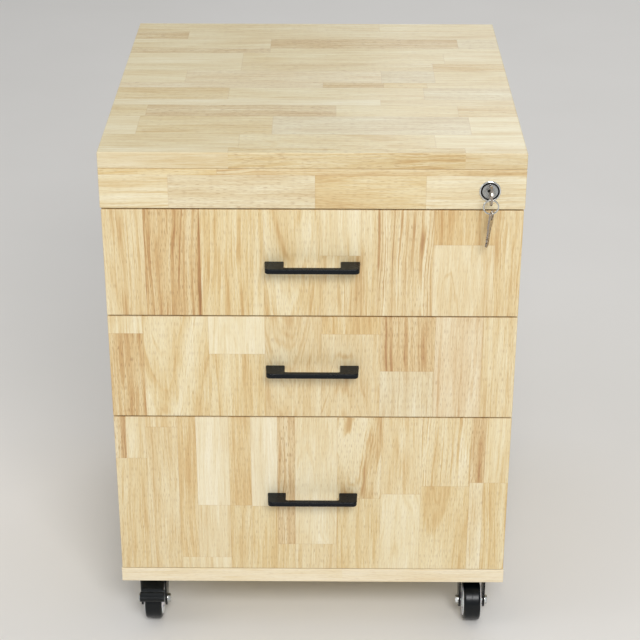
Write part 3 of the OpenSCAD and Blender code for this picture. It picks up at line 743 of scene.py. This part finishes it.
def pull(i):
    """A low bridge with two feet, its front corners rounded and its rims softened."""
    low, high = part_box(f"pull_{i}")
    half = (high.x - low.x) / 2
    out = high.y - low.y
    foot, bar, corner, inner, taper = 21 * MM, 6 * MM, 4.5 * MM, 2.2 * MM, 0.8 * MM
    right = [(half, 0)] + arc(half - taper - corner, -out + corner, corner, 0, -90, 8)
    outer = [(-u, v) for u, v in reversed(right)]
    rise = arc(-half + foot + inner, -out + bar + inner, inner, 180, 270, 6)
    hollow = [(-half + foot, 0)] + rise + [(-u, v) for u, v in reversed(rise)] + [(half - foot, 0)]
    outline = right + outer + hollow
    middle = (low.x + high.x) / 2
    mesh = prism_mesh(outline, low.z, high.z, lambda u, v, w: (middle + u, high.y + v, w))
    piece = new_object(f"bridge_pull_{i}", mesh)
    round_edges(piece, 1.1 * MM, 4, 50)
    fit(piece, f"drawer_{i}", F["pull"], (f"pull_{i}",))


def islands(name):
    """The separate solids of a CAD node, as lists of points."""
    bm = bmesh.new()
    bm.from_mesh(NODES[name].data)
    bmesh.ops.remove_doubles(bm, verts=bm.verts, dist=1e-6)
    seen = set()
    found = []
    for first in bm.verts:
        stack = [] if first in seen else [first]
        group = []
        seen.add(first)
        while stack:
            vert = stack.pop()
            group.append(vert.co.copy())
            for edge in vert.link_edges:
                other = edge.other_vert(vert)
                if other not in seen:
                    seen.add(other)
                    stack.append(other)
        if group:
            found.append(group)
    bm.free()
    return found


def screw_head():
    """A pan head, 7 mm across, with a cross recess."""
    r, rim, half_slot, slot_width, slot_floor = 3.5 * MM, 0.3 * MM, 1.9 * MM, 0.35 * MM, 0.7 * MM
    dome = [(0, 0), (r - 0.2 * MM, 0), (r, rim)]
    dome += [(r * math.cos(t), rim + (HEAD_HIGH - rim) * math.sin(t)) for t in
             [math.radians(a) for a in (25, 50, 72)]] + [(0, HEAD_HIGH)]
    head = new_object("screw_head", lathe_mesh(dome, (0, 0, 0), "z", 28))
    cut(head, [box_mesh((-u, -v, slot_floor), (u, v, 3 * MM))
               for u, v in ((half_slot, slot_width), (slot_width, half_slot))])
    return head


def screws(name, body, nodes, head, tree):
    """Screws of one body, at the places of the CAD nodes' own. Gives back the lock studs that
    are among them, as lowest and highest corners."""
    seats, ways, shanks, studs = [], [], [], []
    for group in [group for node in nodes for group in islands(node)]:
        low = Vector([min(p[k] for p in group) for k in range(3)])
        high = Vector([max(p[k] for p in group) for k in range(3)])
        size = high - low
        if min(size) < 6.5 * MM:
            studs.append((low, high))
            continue
        axis = max(range(3), key=lambda k: size[k])
        u, v = [k for k in range(3) if k != axis]
        middle = (low + high) / 2
        head_points = [p[axis] for p in group if math.hypot(p[u] - middle[u], p[v] - middle[v]) > 2.5 * MM]
        at_high = sum(head_points) / len(head_points) > middle[axis]
        seat, way = middle.copy(), Vector((0, 0, 0))
        seat[axis] = high[axis] - HEAD_HIGH if at_high else low[axis] + HEAD_HIGH
        way[axis] = 1.0 if at_high else -1.0
        seats.append(seat)
        ways.extend(way)
        shanks.append(size[axis] - HEAD_HIGH)
    mesh = bpy.data.meshes.new(name)
    mesh.from_pydata(seats, [], [])
    mesh.attributes.new("axis", "FLOAT_VECTOR", "POINT").data.foreach_set("vector", ways)
    mesh.attributes.new("shank", "FLOAT", "POINT").data.foreach_set("value", shanks)
    piece = new_object(name, mesh)
    grow(piece, tree, {"Head": head, "Shank Radius": 1.6 * MM, "Seed": 5, "Material": F["screw"]})
    fit(piece, body, F["screw"], nodes, smooth=30)
    return studs


def stud(name, body, low, high):
    """A turned stud with a rounded nose."""
    middle = (low + high) / 2
    r = (high.z - low.z) / 2
    nose = 0.8 * MM
    profile = [(0, low.x), (r - nose, low.x), (r - 0.25 * nose, low.x + 0.25 * nose), (r, low.x + nose),
               (r, high.x), (0, high.x)]
    piece = new_object(name, lathe_mesh(profile, (0, middle.y, middle.z), "x", 32))
    fit(piece, body, F["screw"])


# ---------------------------------------------------------------- lock

KEY_HOLE_OUT = 18.5 * MM


def lock():
    ring_low, ring_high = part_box("lock_trim_ring")
    x = (ring_low.x + ring_high.x) / 2
    z = (ring_low.z + ring_high.z) / 2
    face = ring_high.y
    out = face - ring_low.y
    r = (ring_high.x - ring_low.x) / 2

    # A trim ring with a domed lip, proud of the rail
    dome = 1.1 * MM
    lip = [(LOCK_BORE, 0), (r, 0), (r, -0.5 * out)] + arc(r - dome, -out + dome, dome, 0, -100, 6)
    lip += [(LOCK_BORE + 0.35 * MM, -out + 0.3 * MM), (LOCK_BORE, -out + 0.9 * MM)]
    piece = new_object("lock_ring", lathe_mesh([(a, face + b) for a, b in lip], (x, 0, z), "y", 96))
    fit(piece, "carcass", F["trim"], ("lock_trim_ring",))

    # The plug: a chamfered face with a dished keyway, and the crank pin at its back
    plug_low, plug_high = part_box("lock_plug")
    r -= 3 * MM
    rear = plug_high.y - 8 * MM
    front = plug_low.y
    profile = [(0, front), (r - 0.8 * MM, front), (r - 0.25 * MM, front + 0.2 * MM), (r, front + 0.7 * MM),
               (r, rear), (0, rear)]
    piece = new_object("lock_cylinder", lathe_mesh(profile, (x, 0, z), "y", 72))
    half_way, half_tall, start = 1.1 * MM, 3.9 * MM, front - 1 * MM
    keyway = box_mesh((x - half_way, start, z - half_tall), (x + half_way, front + 20.5 * MM, z + half_tall))
    dish = rod_cutter((x - 1.5 * MM, 0, z + 0.6 * MM), "y", 1.5 * MM, start, front + 6 * MM, 24)
    cut(piece, [keyway, dish])
    crank, pin_r = 6 * MM * math.cos(math.radians(45)), 2 * MM
    pin = [(0, rear - 1 * MM), (pin_r, rear - 1 * MM), (pin_r, plug_high.y - 0.4 * MM),
           (pin_r - 0.4 * MM, plug_high.y), (0, plug_high.y)]
    cut(piece, [lathe_mesh(pin, (x + crank, 0, z + crank), "y", 32)], "UNION")
    fit(piece, "plug", F["plug"], ("lock_plug",))

    # The key that is in the lock
    key_low, key_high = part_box("lock_key")
    blade_end = key_high.y - face
    bow_end = face - key_low.y
    piece = key_piece("key_in_lock", blade_end, bow_end, Matrix.Translation((x, face, z)))
    fit(piece, "key", F["key"], ("lock_key",))

    # The split ring, and the spare key, whose hole hangs on the ring's lowest point
    loop_low, loop_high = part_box("key_ring")
    centre = (loop_low + loop_high) / 2
    split_ring(centre, (loop_high.x - loop_low.x) / 2)
    hang = Matrix.Translation((x + 0.8 * MM, centre.y + 0.5 * MM, loop_low.z - 2.5 * MM))
    for axis, degrees in (("Y", 6), ("X", -90), ("Y", 22)):
        hang = hang @ Matrix.Rotation(math.radians(degrees), 4, axis)
    hang = hang @ Matrix.Translation((0, KEY_HOLE_OUT, 0))
    piece = key_piece("spare_key", blade_end, bow_end, hang, 0.62)
    fit(piece, "ring", F["key"])


def key_piece(name, blade_end, bow_end, matrix, narrow=1.0):
    """A flat key on edge: it lies in its own Y-Z plane, its blade towards +Y. narrow makes
    its bow an oval."""
    half_thick, bow_r, blade, hole_r = 1.0 * MM, 10.5 * MM, 3.8 * MM, 4 * MM
    bow_at = bow_r - bow_end
    low_side = []
    for share, deep in ((0.15, 0.8), (0.32, 1.6), (0.47, 0.6), (0.63, 1.9), (0.8, 1.1)):
        low_side += [(share * blade_end + u * MM, -blade + v * deep * MM)
                     for u, v in ((-1.1, 0), (-0.3, 1), (0.3, 1), (1.1, 0))]
    half_angle = math.degrees(math.asin(blade / bow_r))
    bow = [(u, max(-bow_r * narrow, min(bow_r * narrow, v)))
           for u, v in arc(bow_at, 0, bow_r, half_angle, 360 - half_angle, 40)]
    tip = [(blade_end - 2.5 * MM, -blade), (blade_end, -0.8 * MM), (blade_end, 1.2 * MM),
           (blade_end - 2.5 * MM, blade)]
    mesh = prism_mesh(bow + low_side + tip, -half_thick, half_thick, lambda u, v, w: (w, u, v))
    piece = new_object(name, mesh)
    eye = rod_cutter((0, -KEY_HOLE_OUT, 0), "x", hole_r, -3 * MM, 3 * MM, 40)
    # A groove in each face of the blade, one above the other
    cut(piece, [eye, box_mesh((-1.2 * MM, -5 * MM, -1.1 * MM), (-0.45 * MM, blade_end + 1 * MM, 0.0)),
                box_mesh((0.45 * MM, -5 * MM, 0.7 * MM), (1.2 * MM, blade_end + 1 * MM, 1.8 * MM))])
    round_edges(piece, 0.25 * MM, 2, 35)
    piece.data.transform(matrix)
    return piece


def split_ring(centre, outer):
    """Two turns of flattened wire side by side, joined by a short crossing."""
    wire = 0.72 * MM
    turns, steps = 2.0, 96
    middle_r = outer - 0.75 * MM
    sides = 10
    bm = bmesh.new()
    rings = []
    for i in range(int(steps * turns) + 1):
        share = i / (steps * turns)
        turn = 2 * math.pi * turns * share + math.radians(200)
        cross = min(max((share - 0.44) / 0.12, 0), 1)
        y = centre.y + wire / 2 * (2 * (3 * cross ** 2 - 2 * cross ** 3) - 1)
        out = Vector((math.cos(turn), 0, math.sin(turn)))
        thin = min(1.0, 0.35 + min(share, 1 - share) * 30)
        ring = []
        for k in range(sides):
            a = 2 * math.pi * k / sides
            ring.append(bm.verts.new(Vector((centre.x, y, centre.z)) + out * (
                middle_r + 0.75 * MM * math.cos(a)) + Vector((0, wire / 2 * math.sin(a) * thin, 0))))
        rings.append(ring)
    for here, there in zip(rings, rings[1:]):
        for k in range(sides):
            j = (k + 1) % sides
            bm.faces.new((here[k], here[j], there[j], there[k]))
    bm.faces.new(rings[0])
    bm.faces.new(rings[-1])
    piece = new_object("split_ring", mesh_of(bm, "split_ring"))
    fit(piece, "ring", F["ring"], ("key_ring",))


# ---------------------------------------------------------------- casters

def caster_plate(corner):
    """The top plate with rounded corners, the swivel race under it and the riveted pin."""
    at = JOINT_AT[f"swivel_{corner}"]
    low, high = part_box("caster_plates")
    half, r, thick = 28 * MM, 6 * MM, 2.5 * MM
    outline = []
    for sx, sy, start in ((1, 1, 0), (-1, 1, 90), (-1, -1, 180), (1, -1, 270)):
        outline += arc(sx * (half - r), sy * (half - r), r, start, start + 90, 6)
    plate = new_object(f"caster_plate_{corner}", prism_mesh(
        outline, high.z - thick, high.z, lambda u, v, w: (at.x + u, at.y + v, w)))
    round_edges(plate, 0.5 * MM, 2)
    fit(plate, "carcass", F["caster"], ("caster_plates",))
    top, end = high.z - thick, low.z
    profile = [(0, top), (19 * MM, top), (19 * MM, top - 0.8 * MM), (18.2 * MM, top - 1.7 * MM),
               (17 * MM, top - 2.2 * MM), (4.5 * MM, top - 2.2 * MM), (4.5 * MM, end + 2 * MM)]
    rivet = [(7 * MM, end + 2 * MM), (7 * MM, end + 1.2 * MM), (5.8 * MM, end + 0.3 * MM), (4.2 * MM, end),
             (0, end)]
    race = new_object(f"swivel_race_{corner}", lathe_mesh(profile + rivet, (at.x, at.y, 0), "z", 64))
    fit(race, "carcass", F["caster"])


def fork(corner):
    """A steel strip bent into an upside-down U, its legs cut to a tapered outline."""
    at = JOINT_AT[f"swivel_{corner}"]
    axle = JOINT_AT[f"wheel_{corner}_roll"]
    low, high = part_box(f"fork_{corner}")
    half = (high.x - low.x) / 2
    thick, bend, lug = 2.2 * MM, 3.5 * MM, 8.5 * MM
    outer = [(half, low.z)] + arc(half - bend, high.z - bend, bend, 0, 90, 6)
    inner = arc(half - bend, high.z - bend, bend - thick, 90, 0, 5) + [(half - thick, low.z)]
    outline = outer + [(-u, v) for u, v in reversed(outer)] + [(-u, v) for u, v in reversed(inner)] + inner
    piece = new_object(f"caster_fork_{corner}", prism_mesh(
        outline, low.y - 1 * MM, high.y + 1 * MM, lambda u, v, w: (at.x + u, w, v)))

    # From the side: straight flanks, each a tangent to the round lug about the axle
    drop = high.z - 4 * MM
    ends = []
    for flank_y, sign in ((low.y, 1), (high.y, -1)):
        u, v = flank_y - axle.y, drop - axle.z
        ends.append(math.degrees(math.atan2(v, u) + sign * math.acos(lug / math.hypot(u, v))))
    shape = [(high.y, high.z + 1 * MM), (low.y, high.z + 1 * MM), (low.y, drop)]
    shape += arc(axle.y, axle.z, lug, ends[0], ends[1] + 360, 16) + [(high.y, drop)]
    cut(piece, [prism_mesh(shape, -half - 1 * MM, half + 1 * MM, lambda u, v, w: (at.x + w, u, v))],
        "INTERSECT")
    cut(piece, [box_mesh((at.x - half + thick, low.y - 2 * MM, low.z),
                         (at.x + half - thick, at.y - 17 * MM, high.z + 2 * MM))])
    round_edges(piece, 0.5 * MM, 2, 40)
    fit(piece, "caster_" + corner, F["caster"], (f"fork_{corner}",))


def axle(corner):
    """A hexagon bolt through both legs, a nut on its far end, each over a washer."""
    at = JOINT_AT[f"wheel_{corner}_roll"]
    low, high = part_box(f"axle_{corner}")
    reach = (high.x - low.x) / 2
    leg, washer, hexagon, chamfer = 15.5 * MM, 0.7 * MM, 5.5 * MM, 0.9 * MM
    meshes = [lathe_mesh([(0, -reach + 1 * MM), (3 * MM, -reach + 1 * MM), (3 * MM, reach - 0.5 * MM),
                          (2.5 * MM, reach), (0, reach)], at, "x", 32)]
    for s in (-1, 1):
        ring = [(r, s * w) for r, w in ((3.1 * MM, leg), (6 * MM, leg), (6 * MM, leg + washer),
                                        (3.1 * MM, leg + washer))]
        meshes.append(lathe_mesh(ring, at, "x", 40))
        start, end = leg + washer, reach - 0.3 * MM
        nut = new_object("nut", prism_mesh(arc(0, 0, hexagon, 0, 300, 5), *sorted((s * start, s * end)),
                                           lambda u, v, w: (at.x + w, at.y + u, at.z + v)))
        cone = [(0, start), (5.6 * MM, start), (5.6 * MM, end - chamfer), (4.6 * MM, end), (0, end)]
        cut(nut, [lathe_mesh([(r, s * w) for r, w in cone], at, "x", 48)], "INTERSECT")
        meshes.append(nut.data.copy())
        bpy.data.objects.remove(nut)
    piece = joined(f"axle_bolt_{corner}", meshes)
    fit(piece, "caster_" + corner, F["axle"], (f"axle_{corner}",), smooth=30)


def wheel(corner, ribs):
    """A white core with a hub, a web stiffened by ribs, and a rim; a cast tread round it."""
    at = JOINT_AT[f"wheel_{corner}_roll"]
    low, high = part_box(f"wheel_{corner}")
    hub = (high.x - low.x) / 2
    rim = (high.z - low.z) / 2
    tread_low, tread_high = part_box(f"tyre_{corner}")
    tread_r = (tread_high.z - tread_low.z) / 2
    half = (tread_high.x - tread_low.x) / 2
    side = [(3.06 * MM, hub), (5 * MM, hub), (5.4 * MM, hub - 0.5 * MM), (8.2 * MM, hub - 0.5 * MM),
            (9 * MM, hub - 1.2 * MM), (9.4 * MM, 4 * MM), (15.4 * MM, 4 * MM), (16 * MM, half + 0.2 * MM),
            (16.6 * MM, half + 0.8 * MM), (rim - 0.5 * MM, half + 0.8 * MM), (rim, half + 0.3 * MM)]
    profile = side + [(r, -w) for r, w in reversed(side)]
    core = new_object(f"wheel_core_{corner}", lathe_mesh(profile, at, "x", 96))
    grow(core, ribs, {"Count": 10, "Middle Radius": 12.4 * MM, "Rib Size": (7.2 * MM, 1.3 * MM, 17 * MM),
                      "Centre": at, "Material": F["core"]})
    fit(core, "roller_" + corner, F["core"], (f"wheel_{corner}",), smooth=35)
    shoulder, mould_line = 3 * MM, 0.18 * MM
    edge = [(rim, half - 0.4 * MM), (rim + 0.5 * MM, half)] + arc(
        tread_r - shoulder, half - shoulder, shoulder, 90, 0, 7)[1:]
    edge += [(tread_r, 0.6 * MM), (tread_r - mould_line, 0.25 * MM)]
    profile = edge + [(r, -w) for r, w in reversed(edge)]
    tread = new_object(f"tread_{corner}", lathe_mesh(profile, at, "x", 128))
    fit(tread, "roller_" + corner, F["tread"], (f"tyre_{corner}",), smooth=45)


def brake(corner):
    """A moulded lever over the wheel: a sloping deck with a ribbed lip, on a cross pin."""
    at = JOINT_AT[f"swivel_{corner}"]
    pin = JOINT_AT[f"brake_{corner}_press"]
    axle_at = JOINT_AT[f"wheel_{corner}_roll"]
    low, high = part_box(f"brake_{corner}")

    # Pressed by 12 degrees, the underside lies 0.4 mm off the tread, so at rest its circle is
    # turned up about the pin
    turn = math.radians(12)
    du, dv = pin.y - axle_at.y, axle_at.z - pin.z
    shoe = (du * math.cos(turn) - dv * math.sin(turn), du * math.sin(turn) + dv * math.cos(turn))
    deck = [(u * MM, v * MM) for u, v in (
        (5.5, 1.7), (9.5, 0.1), (15.5, -3.0), (22.0, -6.9), (23.0, -8.6), (27.8, -11.6), (28.6, -17.6))]
    outline = arc(0, 0, 2.6 * MM, 200, 90, 6) + deck + arc(*shoe, 24.4 * MM, 38, 86, 10)

    def place(u, v, w):
        return (at.x + w, pin.y - u, pin.z + v)

    piece = new_object(f"brake_lever_{corner}", prism_mesh(outline, -13 * MM, 13 * MM, place))
    round_edges(piece, 0.8 * MM, 3, 45)
    lip = [(u * MM, v * MM) for u, v in (
        (22.3, -8.0), (24.4, -8.5), (28.2, -11.1), (29.7, -13.2), (29.7, -16.2), (28.6, -18.2),
        (27.5, -17.6), (26.5, -13.3), (22.4, -9.8))]
    nose = new_object("nose", prism_mesh(lip, -14.5 * MM, 14.5 * MM, place))
    round_edges(nose, 0.9 * MM, 3, 30)
    cut(piece, [nose.data.copy()], "UNION")
    bpy.data.objects.remove(nose)
    rod = lathe_mesh([(0, low.x), (1.2 * MM, low.x), (1.5 * MM, low.x + 0.3 * MM),
                      (1.5 * MM, high.x - 0.3 * MM), (1.2 * MM, high.x), (0, high.x)],
                     (0, pin.y, pin.z), "x", 24)
    cut(piece, [rod], "UNION")
    fit(piece, "lever_" + corner, F["lever"], (f"brake_{corner}",))


# ---------------------------------------------------------------- slides

def slide_balls(i, tree):
    """Ball cages at the front of the cabinet and middle members."""
    low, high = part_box(f"slide_middle_{i}")
    inner_low, inner_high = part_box(f"slide_drawer_members_{i}")
    z = (low.z + high.z) / 2
    for label, body, x, up in (
            ("slide_", "carcass", 200.4 * MM, (high.z - low.z) / 2 + 1.5 * MM),
            ("slide_inner_", f"middle_slide_{i}", 199.4 * MM, (inner_high.z - inner_low.z) / 2 + 1.5 * MM)):
        points, strips = [], []
        for s in (-1, 1):
            for v in (-up, up):
                points += [Vector((s * x, low.y + (6 + 6 * k) * MM, z + v)) for k in range(9)]
                strips.append(box_mesh((s * x - 2.2 * MM, low.y + 2 * MM, z + v - 0.3 * MM),
                                       (s * x + 2.2 * MM, low.y + 58 * MM, z + v + 0.3 * MM), 0.15 * MM, 1))
        mesh = bpy.data.meshes.new("balls")
        mesh.from_pydata(points, [], [])
        piece = new_object(f"{label}balls_{i}", mesh)
        grow(piece, tree, {"Ball Radius": 1.45 * MM, "Material": F["ball"]})
        fit(piece, body, F["ball"])
        fit(joined(f"{label}cages_{i}", strips), body, F["slide"], smooth=0)


# ---------------------------------------------------------------- the whole

def dress_cad_nodes():
    """Finishes for the nodes whose own shape is kept."""
    kept = {"panel_dowels": "dowel", "slide_cabinet_members": "slide", "lock_housing": "housing",
            "lock_bar": "slide", "lock_bar_guides": "slide"}
    for i in (1, 2, 3):
        kept[f"slide_middle_{i}"] = "slide"
        kept[f"slide_drawer_members_{i}"] = "slide"
    for node, label in kept.items():
        NODES[node].data.materials.clear()
        NODES[node].data.materials.append(F[label])


def camera():
    """A long lens, a little above the cabinet and in front of it."""
    pitch, yaw, roll = math.radians(26.735), math.radians(0.382), math.radians(0.074)
    right = Vector((math.cos(yaw), math.sin(yaw), 0))
    ahead = Vector((-math.sin(yaw) * math.cos(pitch), math.cos(yaw) * math.cos(pitch), -math.sin(pitch)))
    up = right.cross(ahead)
    side = right * math.cos(roll) + up * math.sin(roll)
    top = up * math.cos(roll) - right * math.sin(roll)
    data = bpy.data.cameras.new("camera")
    data.lens = 96.83
    data.sensor_width = 36
    data.clip_start = 0.05
    made = new_object("camera", data)
    turn = Matrix((side, top, -ahead)).transposed().to_4x4()
    made.matrix_world = Matrix.Translation((0.01953, -1.8935, 1.25797)) @ turn
    bpy.context.scene.camera = made


def area_light(name, place, aim, size, power):
    data = bpy.data.lights.new(name, "AREA")
    data.shape = "RECTANGLE"
    data.size, data.size_y = size
    data.energy = power
    made = new_object(name, data)
    made.location = place
    made.rotation_euler = (Vector(aim) - Vector(place)).to_track_quat("-Z", "Y").to_euler()


def studio():
    """A pale floor, a large soft light over the front and weaker ones at the sides and behind."""
    bm = bmesh.new()
    bmesh.ops.create_circle(bm, cap_ends=True, segments=96, radius=14.0)
    floor = new_object("floor", mesh_of(bm, "floor"))
    material, tree = new_material("pale_floor_paint")
    place = add_node(tree, "ShaderNodeTexCoord").outputs["Object"]
    noise = add_node(tree, "ShaderNodeTexNoise", {"Vector": place, "Scale": 3.0, "Detail": 4.0})
    paint = add_node(tree, "ShaderNodeMix", {
        0: noise, 6: srgb("#E2DFDA"), 7: srgb("#E9E6E2")}, data_type="RGBA")
    close_material(tree, add_node(tree, "ShaderNodeBsdfPrincipled", {
        "Base Color": paint.outputs[2], "Roughness": 0.6}))
    floor.data.materials.append(material)

    world = bpy.data.worlds.new("studio")
    world.use_nodes = True
    sky = world.node_tree
    sky.nodes.clear()
    back = add_node(sky, "ShaderNodeBackground", {"Color": srgb("#F2F4F6"), "Strength": 0.5})
    add_node(sky, "ShaderNodeOutputWorld", {"Surface": back})
    bpy.context.scene.world = world
    area_light("key", (0.5, -2.7, 2.5), (0, -0.1, 0.3), (1.5, 1.0), 65)
    area_light("overhead", (-0.4, -0.4, 2.9), (0, 0, 0.4), (1.8, 1.4), 4)
    area_light("left", (-2.6, -0.8, 1.5), (0, 0, 0.3), (1.2, 1.2), 10)
    area_light("behind", (1.0, 2.8, 2.2), (0, 0, 0.3), (2.0, 1.4), 16)
    view = bpy.context.scene.view_settings
    view.view_transform = "Standard"
    view.look = "None"


camera()
studio()
carcass()
SCREW_TREE, RIB_TREE, BALL_TREE = screw_tree(), rib_tree(), ball_tree()
HEAD = screw_head()
screws("carcass_wood_screws", "carcass", ("carcass_screws", "caster_screws"), HEAD, SCREW_TREE)
for i in (1, 2, 3):
    drawer(i)
    pull(i)
    slide_balls(i, BALL_TREE)
    STUDS = screws(f"drawer_wood_screws_{i}", f"drawer_{i}", (f"drawer_screws_{i}",), HEAD, SCREW_TREE)
    for low, high in STUDS:
        stud(f"lock_stud_{i}", f"drawer_{i}", low, high)
bpy.data.objects.remove(HEAD)
lock()
for corner in CORNERS:
    caster_plate(corner)
    fork(corner)
    axle(corner)
    wheel(corner, RIB_TREE)
for corner in BRAKED:
    brake(corner)
dress_cad_nodes()
